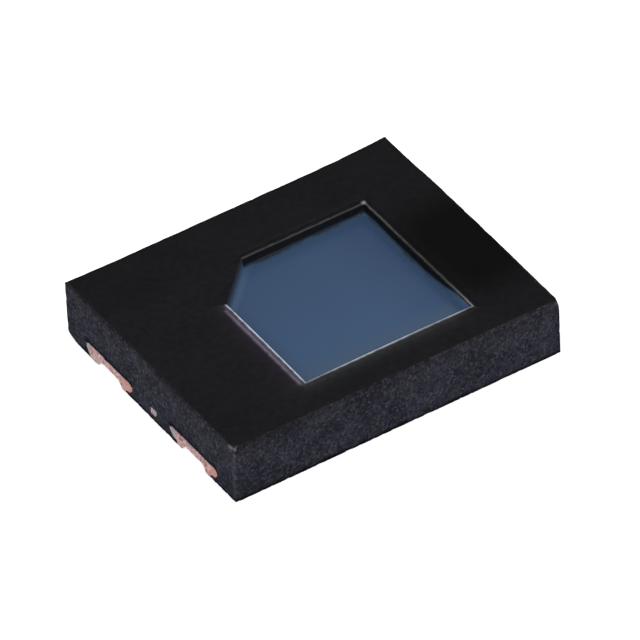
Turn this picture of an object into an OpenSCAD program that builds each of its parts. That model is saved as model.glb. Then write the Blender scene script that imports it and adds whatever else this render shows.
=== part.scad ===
// Surface-mount photodiode in a flat leadless package.
// A silicon chip is glued to an etched copper lead frame and wired to one terminal. Black moulding
// compound locks the frame, covers the rim of the chip and leaves the rest open in a square window
// with one cut corner. Sawing the packages apart leaves bare copper on the two short ends.
// Origin: middle of the underside. X runs along the length, Y along the width, Z up. Millimetres.

/* [Body] */
// Length between the sawn ends, along X
body_l = 5; // [4.8:0.05:5.6]
// Width between the sawn sides, along Y
body_w = 4; // [3.9:0.05:4.6]
// Moulding over the top of the chip, which is also the depth of the window
cover_t = 0.15; // [0.13:0.01:0.3]

/* [Window] */
// Side of the square window at its rim
window_w = 2.56; // [2.3:0.02:2.66]
// Length that the cut corner takes off each side
window_cut = 0.66; // [0.5:0.02:0.9]
// Distance that the window wall leans in between rim and chip
window_draft = 0.015; // [0.005:0.005:0.03]
// Width of the shallow step round the rim
step_w = 0.07; // [0.04:0.01:0.12]
// Depth of the shallow step round the rim
step_d = 0.01; // [0.005:0.005:0.03]

/* [Chip] */
// Side of the square chip
chip_w = 3; // [2.86:0.02:3.1]
// Thickness of the chip
chip_t = 0.525; // [0.3:0.025:0.6]
// Centre of the chip and of the window, along X
chip_x = 0.24; // [0.16:0.02:0.32]
// Centre of the chip and of the window, along Y
chip_y = -0.19; // [-0.21:0.02:0.01]
// Thickness of the silver adhesive under the chip
attach_t = 0.025; // [0.015:0.005:0.05]
// Width of adhesive that shows round the chip
attach_margin = 0.05; // [0.02:0.01:0.1]

/* [Anode contact] */
// Thickness of the metal on the chip
contact_t = 0.004; // [0.003:0.001:0.008]
// Gap between the window rim and the metal ring round it
contact_gap = 0.03; // [0.02:0.005:0.04]
// Width of the metal ring
contact_w = 0.06; // [0.04:0.01:0.08]
// Side of the square bond pad
bond_pad_w = 0.18; // [0.12:0.02:0.22]
// Centre of the bond pad from the two nearest edges of the chip
bond_pad_inset = 0.2; // [0.16:0.01:0.24]
// Width of the strap between bond pad and ring
strap_w = 0.1; // [0.06:0.01:0.14]

/* [Lead frame] */
// Thickness of the copper strip
frame_t = 0.2; // [0.15:0.01:0.254]
// Depth etched from below under the wings, the tie bar and the dimples
etch_d = 0.1; // [0.08:0.01:0.12]
// Width of the die flag outside the chip
flag_margin = 0.12; // [0.1:0.01:0.15]
// Radius on the plan corners of the copper
lead_r = 0.08; // [0.04:0.01:0.12]
// Gap between the die flag and the two free terminals
lead_gap = 0.22; // [0.15:0.01:0.3]
// Side of the square land under the die flag
pad_land_w = 2.5; // [2.2:0.05:2.6]
// Corner cut from that land, which marks the anode
pad_land_cut = 0.35; // [0.2:0.05:0.6]
// Width of the tie bar that carries the die flag
tie_w = 0.11; // [0.08:0.01:0.25]
// Centre of the tie bar along Y
tie_y = -0.05; // [-0.15:0.01:0.15]

/* [Terminals] */
// Distance between the two terminals at each end, centre to centre
terminal_pitch = 2; // [1.8:0.05:2.2]
// Width of a terminal across its wings
terminal_w = 1.1; // [1:0.02:1.2]
// Width of the bevel that the etch leaves under the tip of a wing
wing_bevel = 0.07; // [0.03:0.01:0.1]
// Rise of that bevel from the underside of the wing to its tip
wing_rise = 0.045; // [0.02:0.005:0.05]
// Width of the land that is soldered
land_w = 0.76; // [0.66:0.02:0.84]
// Length of the land that is soldered
land_l = 0.6; // [0.4:0.02:0.66]
// Width of the solder dimple in the end of a land
dimple_w = 0.56; // [0.4:0.02:0.6]
// Length of the solder dimple
dimple_l = 0.25; // [0.2:0.01:0.35]

/* [Bond wire] */
// Diameter of the gold wire
wire_d = 0.025; // [0.018:0.001:0.035]
// Diameter of the ball under each end of the wire
ball_d = 0.08; // [0.06:0.005:0.1]
// Height of the ball under each end of the wire
ball_h = 0.025; // [0.018:0.001:0.03]
// Rise of the loop above the bond pad
loop_h = 0.065; // [0.05:0.005:0.08]
// Radius of the bend at the top of the loop
loop_r = 0.12; // [0.06:0.01:0.2]
// Distance of the wire from the sawn end of the terminal
wire_inset = 0.52; // [0.4:0.02:0.7]

/* [Hidden] */
$fn = 48;

// length by which a cutting shape runs past the body
over = 0.3;
chip_z = frame_t + attach_t;
chip_top = chip_z + chip_t;
contact_top = chip_top + contact_t;
body_h = chip_top + cover_t;
flag_w = chip_w + 2 * flag_margin;
flag_left = chip_x - flag_w / 2;
flag_right = chip_x + flag_w / 2;
terminal_y = terminal_pitch / 2;
free_l = body_l / 2 + flag_left - lead_gap;
fused_l = body_l / 2 - flag_right + 2 * lead_r;

// the wire runs in one upright plane, from the anode terminal to the bond pad
wire_from = [-body_l / 2 + wire_inset, terminal_y];
wire_to = [chip_x - chip_w / 2 + bond_pad_inset, chip_y + chip_w / 2 - bond_pad_inset];
wire_run = wire_to - wire_from;
loop_z = contact_top + loop_h;
wire_sides = 8;
bend_steps = 6;
bend = [for (i = [0 : bend_steps])
    let (a = 180 - 90 * i / bend_steps)
    [loop_r + loop_r * cos(a), loop_z - loop_r + loop_r * sin(a)]];
wire_line = concat([[0, frame_t + ball_h / 2]], bend, [[norm(wire_run), contact_top + ball_h]]);

// corners of the window, grown outwards by an even distance
function window_outline(grow) =
    let (h = window_w / 2 + grow, k = window_cut + grow * (2 - sqrt(2)))
    [[-h, -h], [h, -h], [h, h], [k - h, h], [-h, h - k]];

// direction of the wire at its point i, from the points on either side
function wire_heading(i) =
    let (d = wire_line[min(i + 1, len(wire_line) - 1)] - wire_line[max(i - 1, 0)])
    d / norm(d);

module body_block() {
    translate([-body_l / 2, -body_w / 2, 0])
        cube([body_l, body_w, body_h]);
}

module rounded_plate(l, w) {
    translate([0, 0, etch_d])
        linear_extrude(frame_t - etch_d) {
            square([l, w - 2 * lead_r], center = true);
            square([l - 2 * lead_r, w], center = true);
            for (x = [-1, 1], y = [-1, 1])
                translate([x * (l / 2 - lead_r), y * (w / 2 - lead_r)])
                    circle(lead_r);
        }
}

// section of a land: as wide as the land below, and hollowed by the etch up to the wings
module land_section(w) {
    difference() {
        translate([-w / 2 - etch_d, -over])
            square([w + 2 * etch_d, frame_t + over]);
        for (s = [-1, 1])
            translate([s * (w / 2 + etch_d), 0]) {
                circle(etch_d);
                translate([-etch_d, -2 * over])
                    square([2 * etch_d, 2 * over]);
            }
    }
}

module land(l, w) {
    intersection() {
        rotate([90, 0, 90])
            linear_extrude(l + 4 * etch_d, center = true)
                land_section(w);
        rotate([90, 0, 0])
            linear_extrude(w + 4 * etch_d, center = true)
                land_section(l);
    }
}

// section that trims the wings from below, on the slope of their bevel
module wing_section() {
    h = terminal_w / 2;
    side = [[h - 2 * wing_bevel, etch_d - wing_rise], [h + wing_bevel, etch_d + 2 * wing_rise],
        [h + wing_bevel, frame_t + over]];
    polygon(concat(side, [for (i = [2 : -1 : 0]) [-side[i][0], side[i][1]]]));
}

// a terminal before the saw and before its dimple: the saw passes at x = 0, the body is on +X
module terminal_blank(l) {
    intersection() {
        rounded_plate(2 * l, terminal_w);
        rotate([90, 0, 90])
            linear_extrude(2 * (l + over), center = true)
                wing_section();
    }
    land(2 * land_l, land_w);
}

// pocket etched up into a land, open at the sawn end, with a quarter round along its other edges
module dimple() {
    flat = dimple_w - 2 * etch_d;
    straight = dimple_l - etch_d;
    translate([-over, 0, 0])
        rotate([90, 0, 90])
            linear_extrude(straight + over) {
                square([flat, 2 * etch_d], center = true);
                for (s = [-1, 1])
                    translate([s * flat / 2, 0])
                        circle(etch_d);
            }
    translate([straight, 0, 0])
        rotate([90, 0, 0])
            cylinder(r = etch_d, h = flat, center = true);
    for (s = [-1, 1])
        translate([straight, s * flat / 2, 0])
            sphere(etch_d);
}

// side 1 is the +Y half of the package
module at_left(side) {
    translate([-body_l / 2, side * terminal_y, 0])
        children();
}

module at_right(side) {
    translate([body_l / 2, side * terminal_y, 0])
        mirror([1, 0, 0])
            children();
}

// the die flag has a land with one corner cut, a tie bar to the left end and terminals at the right
module cathode_blank() {
    translate([chip_x, chip_y, 0])
        rounded_plate(flag_w, flag_w);
    translate([-body_l / 2 - over, tie_y - tie_w / 2, etch_d])
        cube([flag_left + body_l / 2 + over + lead_r, tie_w, frame_t - etch_d]);
    intersection() {
        land(pad_land_w, pad_land_w);
        rotate(135)
            translate([(pad_land_w - pad_land_cut) / sqrt(2) - pad_land_w, 0, 0])
                rotate([90, 0, 0])
                    linear_extrude(3 * pad_land_w, center = true)
                        land_section(2 * pad_land_w);
    }
    for (side = [-1, 1])
        at_right(side)
            terminal_blank(fused_l);
}

module chip_shape() {
    translate([chip_x - chip_w / 2, chip_y - chip_w / 2, chip_z])
        cube([chip_w, chip_w, chip_t]);
}

module attach_shape() {
    w = chip_w + 2 * attach_margin;
    translate([chip_x - w / 2, chip_y - w / 2, frame_t])
        cube([w, w, attach_t]);
}

// ring round the window, bond pad in the corner of the chip and the strap that joins them
module contact_shape() {
    translate([0, 0, chip_top])
        linear_extrude(contact_t) {
            translate([chip_x, chip_y])
                difference() {
                    polygon(window_outline(contact_gap + contact_w));
                    polygon(window_outline(contact_gap));
                }
            translate(wire_to)
                square(bond_pad_w, center = true);
            translate([chip_x, chip_y])
                rotate(135)
                    translate([(window_w - window_cut) / sqrt(2) + contact_gap + contact_w / 2, -strap_w / 2])
                        square([(window_cut + chip_w - window_w) / sqrt(2) - bond_pad_inset * sqrt(2)
                            - contact_gap - contact_w / 2, strap_w]);
        }
}

module wire_shape() {
    n = wire_sides;
    last = len(wire_line) - 1;
    translate(wire_from)
        rotate(atan2(wire_run[1], wire_run[0]))
            polyhedron(
                points = [for (i = [0 : last], j = [0 : n - 1])
                    let (d = wire_heading(i), c = wire_d / 2 * cos(360 * j / n), s = wire_d / 2 * sin(360 * j / n))
                    [wire_line[i][0] - c * d[1], s, wire_line[i][1] + c * d[0]]],
                faces = concat(
                    [[for (j = [0 : n - 1]) n - 1 - j]],
                    [for (i = [0 : last - 1], j = [0 : n - 1])
                        [i * n + j, i * n + (j + 1) % n, (i + 1) * n + j]],
                    [for (i = [0 : last - 1], j = [0 : n - 1])
                        [i * n + (j + 1) % n, (i + 1) * n + (j + 1) % n, (i + 1) * n + j]],
                    [[for (j = [0 : n - 1]) last * n + j]]));
    translate([wire_from[0], wire_from[1], frame_t])
        cylinder(d = ball_d, h = ball_h);
    translate([wire_to[0], wire_to[1], contact_top])
        cylinder(d = ball_d, h = ball_h);
}

module window_shape() {
    translate([chip_x, chip_y, 0]) {
        translate([0, 0, chip_top])
            linear_extrude(cover_t, scale = window_w / (window_w - 2 * window_draft))
                polygon(window_outline(-window_draft));
        translate([0, 0, body_h - step_d])
            linear_extrude(step_d + over)
                polygon(window_outline(step_w));
    }
}

module mould_body() {
    color([0.09, 0.09, 0.1])
        difference() {
            body_block();
            window_shape();
            chip_shape();
            contact_shape();
            attach_shape();
            wire_shape();
            cathode_blank();
            for (side = [-1, 1])
                at_left(side)
                    terminal_blank(free_l);
        }
}

module photodiode_chip() {
    color([0.2, 0.28, 0.42])
        chip_shape();
}

module anode_contact() {
    color([0.8, 0.8, 0.82])
        contact_shape();
}

module die_attach() {
    color([0.66, 0.66, 0.64])
        attach_shape();
}

module cathode_frame() {
    color([0.8, 0.52, 0.44])
        difference() {
            intersection() {
                cathode_blank();
                body_block();
            }
            for (side = [-1, 1])
                at_right(side)
                    dimple();
        }
}

module free_terminal(side) {
    color([0.8, 0.52, 0.44])
        difference() {
            intersection() {
                at_left(side)
                    terminal_blank(free_l);
                body_block();
            }
            at_left(side)
                dimple();
        }
}

module anode_terminal() {
    free_terminal(1);
}

module spare_terminal() {
    free_terminal(-1);
}

module bond_wire() {
    color([0.9, 0.7, 0.28])
        wire_shape();
}

mould_body();
photodiode_chip();
anode_contact();
die_attach();
cathode_frame();
anode_terminal();
spare_terminal();
bond_wire();
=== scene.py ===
# %% [markdown]
# # A leadless photodiode
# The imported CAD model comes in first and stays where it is. The part is a block of moulding compound five
# millimetres long, so every size below is written in millimetres and turned into Blender's metres once.

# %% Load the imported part
from math import cos, radians, sin

import bpy
import numpy as np
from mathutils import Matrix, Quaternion, Vector


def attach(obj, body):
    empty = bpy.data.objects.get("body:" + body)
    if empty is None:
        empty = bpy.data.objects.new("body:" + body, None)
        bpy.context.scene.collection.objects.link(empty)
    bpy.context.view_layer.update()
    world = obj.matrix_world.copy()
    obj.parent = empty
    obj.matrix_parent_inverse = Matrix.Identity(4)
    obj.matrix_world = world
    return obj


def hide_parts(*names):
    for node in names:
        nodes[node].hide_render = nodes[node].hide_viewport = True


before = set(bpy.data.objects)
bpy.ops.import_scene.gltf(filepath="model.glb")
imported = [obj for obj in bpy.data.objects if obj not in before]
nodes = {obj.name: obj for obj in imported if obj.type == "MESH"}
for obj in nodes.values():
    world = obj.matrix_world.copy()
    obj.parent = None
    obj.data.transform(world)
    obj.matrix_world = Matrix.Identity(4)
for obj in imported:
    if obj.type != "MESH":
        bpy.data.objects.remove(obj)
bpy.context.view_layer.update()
scene = bpy.context.scene
scene.view_settings.view_transform = "Standard"
MM = 0.001
print("nodes:", sorted(nodes))

# %% [markdown]
# ## The camera
# The photograph was taken from far off through a long lens, so parallel edges stay nearly parallel. A
# camera could be moved by eye, but fitting it to the seven visible corners of the block gives the
# direction, the small roll and the distance at once.

# %% Camera
AIM = Vector((0.0636, -0.0665, 0.4226)) * MM
AZIMUTH, ELEVATION, ROLL = radians(-31.288), radians(40.900), radians(-2.907)
DISTANCE, CLIP_START = 132.471 * MM, 1 * MM
LENS, SENSOR_WIDTH = 576.8, 36


def from_centre(azimuth, elevation):
    """Unit vector from the part: azimuth 0 is the -Y side and a quarter turn on is the +X side."""
    return Vector((sin(azimuth) * cos(elevation), -cos(azimuth) * cos(elevation), sin(elevation)))


towards_camera = from_centre(AZIMUTH, ELEVATION)
camera = bpy.data.objects.new("camera", bpy.data.cameras.new("camera"))
camera.data.lens = LENS
camera.data.sensor_width = SENSOR_WIDTH
camera.data.clip_start = CLIP_START
camera.location = AIM + towards_camera * DISTANCE
camera.rotation_mode = "QUATERNION"
camera.rotation_quaternion = (-towards_camera).to_track_quat("-Z", "Y") @ Quaternion((0, 0, 1), ROLL)
scene.collection.objects.link(camera)
scene.camera = camera
print("camera at", [round(c / MM, 2) for c in camera.location], "mm")

# %% [markdown]
# ## The moulding as one closed loop of outlines
# The CAD solid has the right form but perfect faces. The real block is pressed in a tool and then sawn, so
# its top is smooth, its rim is a little round and its four sides are rough. It could be the CAD mesh with
# a bevel, but a bevel can't roughen a face. Here the block is lofted: outlines of the same number of
# points are stacked from the window wall over the rim, the top, the saw cut and the underside, and back
# up the pocket of the chip to the first outline. That makes a closed skin with one even grid. What the
# CAD nodes share with it is measured on them, so that copper, chip and compound keep meeting.

# %% Sizes, in millimetres
def node_box(name):
    """The lowest and the highest corner of a CAD node's box, to a thousandth of a millimetre."""
    corners = np.array(nodes[name].bound_box) / MM
    return corners.min(axis=0).round(3), corners.max(axis=0).round(3)


body_low, body_high = node_box("mould_body")
chip_low, chip_high = node_box("photodiode_chip")
glue_low, glue_high = node_box("die_attach")
frame_low, frame_high = node_box("cathode_frame")
BODY_L, BODY_W, BODY_H = body_high - body_low
CHIP_X, CHIP_Y = ((chip_low + chip_high) / 2)[:2].round(3)
CHIP_W = round(chip_high[0] - chip_low[0], 3)
CHIP_Z, CHIP_TOP = chip_low[2], chip_high[2]
ATTACH_W = round(glue_high[0] - glue_low[0], 3)
FLAG_W = round(2 * (CHIP_Y - frame_low[1]), 3)  # the die flag is the frontmost of the frame
FRAME_T = frame_high[2]
WINDOW_W, WINDOW_CUT = 2.56, 0.66  # side of the window, and the legs of its cut corner
WINDOW_DRAFT, FRONT_IN = 0.015, 0.02  # lean of its wall, and how far its front side sits inside the square
STEP_W, STEP_D, RISER_W = 0.07, 0.004, 0.05  # the shallow step round the rim
ETCH_D, PAD_LAND_W, PAD_LAND_CUT = 0.1, 2.5, 0.35  # depth of the etch, and the land under the die flag
print("block %.1f x %.1f x %.1f mm, chip %.1f mm square" % (BODY_L, BODY_W, BODY_H, CHIP_W))

# %% Outlines
COUNTS = (250, 200, 205, 45, 45, 155)  # points on the six runs of an outline
CUT_SPREAD = 2 - 2 ** 0.5  # growth of a cut's legs when every side moves out by one


def cut_square(x, y, width, cut):
    """Six points of a square with a cut corner: three plain ones, then the cut's start, middle and end."""
    half = width / 2
    return np.array([(-half, -half), (half, -half), (half, half), (cut - half, half),
                     (cut / 2 - half, half - cut / 2), (-half, half - cut)]) + (x, y)


def plain_box(x, y, length, width, beside=0.9):
    """Six points of a rectangle to match a cut square: the fifth is its corner, with a point either side."""
    a, b = length / 2, width / 2
    return np.array([(-a, -b), (a, -b), (a, b), (beside - a, b), (-a, b), (-a, b - beside)]) + (x, y)


def window(grow):
    """The window's outline, with every side and the cut moved outwards by grow."""
    outline = cut_square(CHIP_X, CHIP_Y, WINDOW_W + 2 * grow, WINDOW_CUT + grow * CUT_SPREAD)
    outline[:2, 1] += FRONT_IN
    return outline


def walk(corners):
    """Points along the straight runs between neighbouring corners, as many on each run as COUNTS says."""
    ends = np.roll(corners, -1, axis=-2)
    runs = [corners[..., i, None, :] + (ends - corners)[..., i, None, :] * np.arange(n)[:, None] / n
            for i, n in enumerate(COUNTS)]
    return np.concatenate(runs, axis=-2)


def at_height(outline, z):
    """An outline of x and y with its height added."""
    return np.concatenate([outline, np.broadcast_to(z, outline.shape[:-1])[..., None]], axis=-1)


print("window:", window(0).round(2).tolist(), "walked in", len(walk(window(0))), "points")

# %% [markdown]
# ## Uneven ground
# Sawn compound, a rubbed edge and a dragged copper burr are all uneven in the same way, so one noise
# function serves them. A Displace modifier with a texture could move the points, but here the noise also
# sets radii and colours. So it is worked out in numpy, and each use has its own seed.

# %% Smoothstep and noise
def ease(t):
    """Smoothstep of a share from 0 to 1: three times its square less twice its cube."""
    return t * t * (3 - 2 * t)


def smooth(value, low, high):
    """Zero below low, one above high, and smoothstep between."""
    return ease(np.clip((value - low) / (high - low), 0, 1))


def lumps(p, pitch, seed):
    """Smooth noise from -1 to 1: random values on a cubic lattice, blended by smoothstep."""
    q = (p - p.reshape(-1, 3).min(axis=0)) / pitch
    cell = np.floor(q).astype(int)
    t = ease(q - cell)
    values = np.random.default_rng(seed).uniform(-1, 1, cell.reshape(-1, 3).max(axis=0) + 2)
    total = np.zeros(p.shape[:-1])
    for dx, dy, dz in np.ndindex(2, 2, 2):
        share = np.abs(1 - dx - t[..., 0]) * np.abs(1 - dy - t[..., 1]) * np.abs(1 - dz - t[..., 2])
        total += share * values[cell[..., 0] + dx, cell[..., 1] + dy, cell[..., 2] + dz]
    return total


print("noise along one millimetre:", lumps(np.linspace((0, 0, 0), (1, 0, 0), 6), pitch=0.3, seed=0).round(2))

# %% [markdown]
# ## The saw-cut block
# Where two saw cuts cross, the upright edge is rubbed a little round. A bevel would do the same to every
# edge alike, so the ring of points round the block is bent over a small quarter circle at each corner,
# and the direction into the block turns with it.

# %% The block's ring
HALF = np.array([BODY_L / 2, BODY_W / 2])
FRONT_CORNER, RIGHT_CORNER = HALF * (-1, -1), HALF * (1, -1)
UPRIGHT_R, TINY = 0.01, 1e-6


def rub_corners(ring, r):
    """Within r of a corner of its box a point slides onto the quarter circle of radius r, at an angle of 45
    degrees at the corner and 0 at the circle's ends. Gives the new ring and the direction into the block."""
    low, high = ring.min(axis=-2, keepdims=True), ring.max(axis=-2, keepdims=True)
    middle, half = (low + high) / 2, (high - low) / 2
    sign = np.sign(ring - middle)
    gap = half - np.abs(ring - middle)
    turn = np.radians(45) * (1 - np.clip(gap.sum(axis=-1) / np.maximum(r, TINY), 0, 1))
    sine, cosine = np.sin(turn), np.cos(turn)
    along, into = r * (1 - sine), r * (1 - cosine)
    on_end = (gap[..., 0] < gap[..., 1])[..., None]
    gap = np.where(on_end, np.stack([into, along], -1), np.stack([along, into], -1))
    normal = np.where(on_end, np.stack([cosine, sine], -1), np.stack([sine, cosine], -1))
    return np.where(turn[..., None] > 0, middle + sign * (half - gap), ring), -sign * normal


sharp_ring = walk(plain_box(0, 0, BODY_L, BODY_W))
box_ring, inward = rub_corners(sharp_ring, UPRIGHT_R)
print("upright edges rubbed by %.4f mm" % np.abs(box_ring - sharp_ring).max())

# %% [markdown]
# ## Worn long edges
# The top edge is rubbed and nibbled, most near the right corner, and the foot is nibbled too. A bevel has
# one width, so here every point of the ring gets a radius of its own: a base, a slow noise, bites where a
# second noise is high, and wear that dies away from that corner.

# %% Radii of the long edges
EDGE_R, EDGE_WANDER, EDGE_BITE, EDGE_WEAR = 0.016, 0.007, 0.014, 0.03
FOOT_R, FOOT_BITE = 0.003, 0.012
CORNER_SHARE, CORNER_SLOPE = 0.9, 0.3  # the most at a corner, and how fast it may grow from there


def near(p, corner, reach):
    """A bell curve: one at a corner of the block seen from above, and 1/e at a distance of reach."""
    return np.exp(-np.sum((p[..., :2] - corner) ** 2, axis=-1) / reach ** 2)


edge_run = at_height(box_ring, BODY_H)
worn = (box_ring[:, 0] > HALF[0] - UPRIGHT_R) * near(box_ring, RIGHT_CORNER, reach=1.1)
bites = np.clip(lumps(edge_run, pitch=0.22, seed=2) - 0.45, 0, 1)
edge_r = EDGE_R + EDGE_WANDER * lumps(edge_run, pitch=0.09, seed=1) + EDGE_BITE * bites + EDGE_WEAR * worn
from_corner = np.maximum((HALF - np.abs(sharp_ring)).sum(axis=-1) - UPRIGHT_R, 0)
edge_r = np.minimum(edge_r, CORNER_SHARE * UPRIGHT_R + CORNER_SLOPE * from_corner)
foot_r = FOOT_R + FOOT_BITE * np.clip(lumps(edge_run, pitch=0.05, seed=13), 0, 1)
print("radius of the top edge: %.3f to %.3f mm" % (edge_r.min(), edge_r.max()))

# %% [markdown]
# ## The window's wall
# The wall leans, so that the tool comes out of it, its corners are filled at the foot, and its rim is
# soft. Resin that crept along the tool left a thin lip on the front and the left rim. The lip could be a
# piece of its own, but the real one has no seam. So each row of the wall is the window's outline grown
# by its own amount, and the lip is a push inwards on those rows.

# %% Window wall
RIM_R, RIM_ROUGH, CORNER_FILL = 0.024, 0.002, 0.14
FRONT_LIP, LEFT_LIP = 0.026, 0.016
STEP_Z = BODY_H - STEP_D
LEDGE = np.array([0.022, 0.034, 0.044])  # rows on the flat of the step, outside the window
WALL_ROWS, RIM_ROWS, RISER_ROWS = 9, 8, 6


def window_wall():
    """Rows up the leaning wall, over the rim by a quarter circle, along the step and up its riser by
    smoothstep. The lip grows with the fourth power of the height and as the root of a sine along its side."""
    up = np.linspace(0, 1, WALL_ROWS)
    turn = np.radians(np.linspace(0, 90, RIM_ROWS))[1:]
    rise = np.linspace(0, 1, RISER_ROWS)[1:]
    grow = np.concatenate([-WINDOW_DRAFT * (1 - up) - RIM_R / 2, RIM_R * (0.5 - np.cos(turn)), LEDGE,
                           STEP_W + RISER_W * (rise - 0.5)])
    z = np.concatenate([CHIP_TOP + (STEP_Z - RIM_R - CHIP_TOP) * up, STEP_Z - RIM_R * (1 - np.sin(turn)),
                        STEP_Z + 0 * LEDGE, STEP_Z + STEP_D * ease(rise)])
    filled = np.zeros(len(grow))
    filled[:WALL_ROWS] = CORNER_FILL * (1 - up) ** 1.5
    outlines, _ = rub_corners(walk(np.array([window(g) for g in grow])), filled[:, None])
    p = at_height(outlines, z[:, None])
    lip = np.concatenate([up ** 4, 1 - np.sin(turn), 0 * LEDGE, 0 * rise])[:, None]
    front, left = (np.sin(np.pi * np.arange(n) / n) ** 0.25 for n in (COUNTS[0], COUNTS[-1]))
    p[:, :COUNTS[0], 1] += FRONT_LIP * lip * front
    p[:, -COUNTS[-1]:, 0] += LEFT_LIP * lip * left
    rim = slice(WALL_ROWS, WALL_ROWS + len(turn))
    p[rim, :, 2] += RIM_ROUGH * lumps(p[rim], pitch=0.07, seed=7)
    return p


wall_grid = window_wall()
print("window wall:", len(wall_grid), "rows")

# %% [markdown]
# ## The top and the sawn sides
# The top is pressed smooth. The saw then opens the four sides, tears out beads of filler and leaves a fine
# roughness that shows along every edge. A bump map can't change an outline, so the roughness is in the
# points: two noises and a few deeper pits press them in.

# %% Top and sides
TOP_ROWS, EDGE_ROWS, SIDE_ROWS = 14, 5, 44
SAW_ROUGH, SAW_PITS, PIT_LEVEL = 0.004, 0.02, 0.7


def top_face():
    """Straight lines from the step to the start of the sawn edge, spaced by smoothstep."""
    t = ease(np.linspace(0, 1, TOP_ROWS)[1:-1, None, None])
    step, edge = walk(window(STEP_W + RISER_W / 2)), box_ring + inward * edge_r[:, None]
    return at_height(step + (edge - step) * t, BODY_H)


def sawn_side():
    """A quarter circle of uneven radius over the edge, then straight down, pressed in by the roughness."""
    turn = np.radians(np.linspace(0, 90, EDGE_ROWS))[:, None]
    down = np.linspace(0, 1, SIDE_ROWS)[1:, None]
    off = np.concatenate([edge_r * (1 - np.sin(turn)), np.zeros((len(down), len(box_ring)))])
    z = np.concatenate([BODY_H - edge_r * (1 - np.cos(turn)), (BODY_H - edge_r) * (1 - down) + foot_r * down])
    p = at_height(box_ring + inward * off[..., None], z)
    rough = 0.34 * lumps(p, pitch=0.04, seed=3) + 0.16 * lumps(p, pitch=0.13, seed=4)
    pits = np.clip(lumps(p, pitch=0.07, seed=5) - PIT_LEVEL, 0, 1)
    press = SAW_ROUGH * rough + SAW_PITS * pits
    press[0] = 0
    p[..., :2] += inward * press[..., None]
    return p


top_grid, side_grid = top_face(), sawn_side()
print("top: %d rows, sides: %d rows" % (len(top_grid), len(side_grid)))

# %% [markdown]
# ## The underside and the pocket of the chip
# The compound flowed under the half-etched die flag and round the chip, so its inside is their shape. It
# could be cut out with a Boolean, but faces that lie exactly on each other can make a Boolean fail. The
# loft walks along the same outlines instead.

# %% Underside and pocket
HOLLOW_ROWS, FOOT_IN, POCKET_BESIDE = 6, 0.03, 0.5


def underside_and_pocket():
    """In along the underside to the die land, up its etched hollow by a quarter circle, out round the die
    flag and the adhesive, and up the chip to the window."""
    turn = np.radians(np.linspace(0, 90, HOLLOW_ROWS))
    hollow = ETCH_D * (1 - np.cos(turn))
    land = [cut_square(0, 0, PAD_LAND_W + 2 * h, PAD_LAND_CUT + h * CUT_SPREAD) for h in hollow]
    flag, glue, chip = (plain_box(CHIP_X, CHIP_Y, w, w, POCKET_BESIDE) for w in (FLAG_W, ATTACH_W, CHIP_W))
    pocket = walk(np.array([*land, flag, flag, glue, glue, chip, chip]))
    z = np.array([*(ETCH_D * np.sin(turn)), ETCH_D, FRAME_T, FRAME_T, CHIP_Z, CHIP_Z, CHIP_TOP])
    foot = box_ring + inward * foot_r[:, None]
    flat = np.stack([foot, box_ring * (1 - FOOT_IN / HALF), (foot + pocket[0]) / 2])
    return np.concatenate([at_height(flat, 0.0), at_height(pocket, z[:, None])])


sharp_grid = np.concatenate([wall_grid, top_grid, side_grid, underside_and_pocket()])
print("moulding grid:", sharp_grid.shape)

# %% [markdown]
# ## Knocked corners
# Three corners of the block have lost their tip. Cutting them off with a Boolean would leave sharp new
# edges. Each is dented instead: a slanted plane stands across the corner, and every point past it is
# pressed back, with a soft change from untouched to pressed.

# %% Dent the corners
KNOCKS = [  # corner as signs of x, y and z, and where the plane meets its three edges
    ((1, -1, 1), (0.07, 0.09, 0.09)),
    ((-1, -1, 1), (0.05, 0.06, 0.05)),
    ((-1, 1, -1), (0.09, 0.16, 0.055)),
]
KNOCK_SOFT = 0.3  # width of the soft change, as a share of the depth


def knock(p, signs, reach):
    """Moves points against the plane's normal by w log(1 + exp(d / w)), where d is how far they lie past the
    plane and w is the width of the soft change."""
    tip = np.array(signs) * (BODY_L / 2, BODY_W / 2, BODY_H / 2) + (0, 0, BODY_H / 2)
    normal = np.array(signs) / reach
    depth = 1 / np.linalg.norm(normal)
    normal *= depth
    past, width = (p - tip) @ normal + depth, KNOCK_SOFT * depth
    return p - normal * (width * np.log1p(np.exp(past / width)))[..., None]


moulding_grid = sharp_grid
for knocked in KNOCKS:
    moulding_grid = knock(moulding_grid, *knocked)
print("deepest dent: %.3f mm" % np.linalg.norm(moulding_grid - sharp_grid, axis=-1).max())

# %% [markdown]
# ## A hair out of square
# No saw cuts quite straight. The back side stands out by a few hundredths of a millimetre towards its two
# ends, and the right side dips at the far corner. A lattice could bend the finished block, but two short
# formulas on its points say exactly how much.

# %% Bend the cuts
STAND_FAR, STAND_LEFT, DIP = 0.045, 0.018, 0.016
FAR_START, LEFT_START = 1.3, -1.7  # where on x the back side starts to stand out


def askew(p):
    """Near the back side y grows with how far x lies past a start, and to the power 1.5 at the far corner.
    At that corner x shrinks by smoothsteps."""
    x, y = p[:, 0], p[:, 1]
    far = np.clip((x - FAR_START) / (HALF[0] - FAR_START), 0, 1)
    left = np.clip((LEFT_START - x) / (HALF[0] + LEFT_START), 0, 1)
    stand = (STAND_FAR * far ** 1.5 + STAND_LEFT * left) * smooth(y, 1.6, HALF[1])
    dip = DIP * smooth(y, 0.9, 1.4) * smooth(x, 2.0, HALF[0])
    return p + np.stack([-dip, stand, 0 * x], -1)


back_ends = np.array([(HALF[0], HALF[1], BODY_H), (-HALF[0], HALF[1], BODY_H)])
print("the back edge's ends move by", (askew(back_ends) - back_ends)[:, :2].round(3).tolist())

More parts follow.
